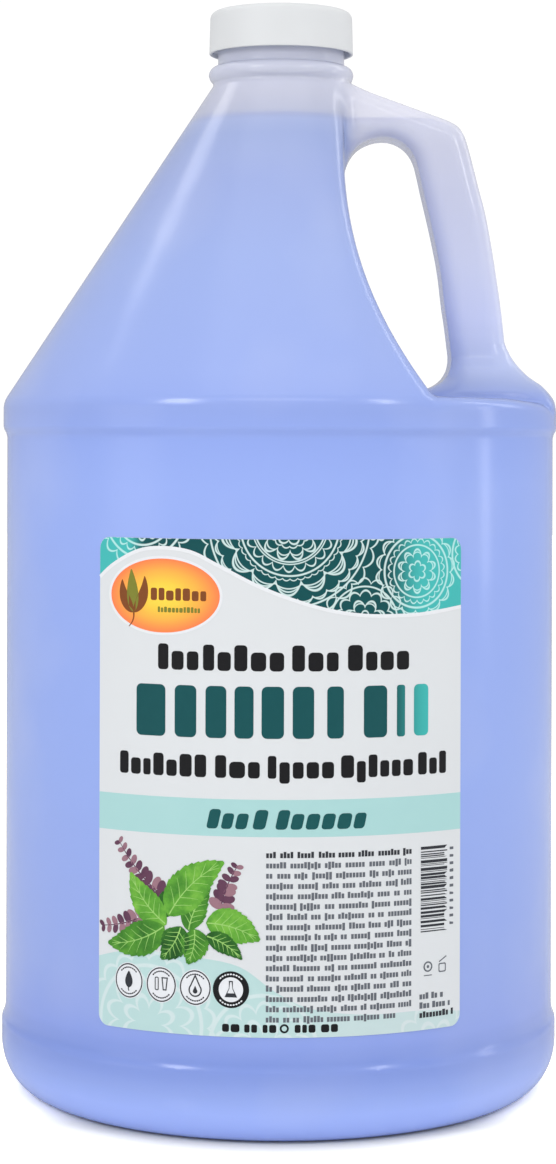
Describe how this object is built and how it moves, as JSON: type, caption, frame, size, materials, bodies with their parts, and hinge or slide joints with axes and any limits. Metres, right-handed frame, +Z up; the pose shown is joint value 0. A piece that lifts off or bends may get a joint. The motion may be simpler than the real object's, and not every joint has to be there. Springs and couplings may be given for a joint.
{
  "type": "oil jug",
  "caption": "Round one-gallon plastic jug with a moulded-in carry handle and a threaded screw cap, filled with blue massage oil.",
  "frame": {"origin": "centre of the base, on the table", "axes": "+Z up along the axis of the body and neck, +X towards the handle, -Y towards the front label"},
  "size_m": [0.1524, 0.1524, 0.2951],
  "materials": {
    "natural_hdpe": "milky natural HDPE, satin, lets light through",
    "white_plastic": "smooth white moulded polypropylene",
    "foam": "soft closed-cell foam",
    "label_film": "printed film, soft satin",
    "blue_oil": "clear blue-violet oil"
  },
  "bodies": {
    "bottle": {"jug": "natural_hdpe", "front_label": "label_film", "oil": "blue_oil"},
    "liner": {"cap_liner": "foam"},
    "cap": {"screw_cap": "white_plastic"}
  },
  "joints": [
    {"name": "cap_lift", "type": "slide", "parent": "bottle", "child": "liner", "axis": [0, 0, 1], "range_m": [0, 0.0128]},
    {"name": "cap_turn", "type": "hinge", "parent": "liner", "child": "cap", "pos_m": [0, 0, 0.29], "axis": [0, 0, 1], "range_deg": [0, 1080]}
  ],
  "couplings": [
    {"joint": "cap_lift", "follows": "cap_turn", "m_per_rad": 0.0006737}
  ]
}
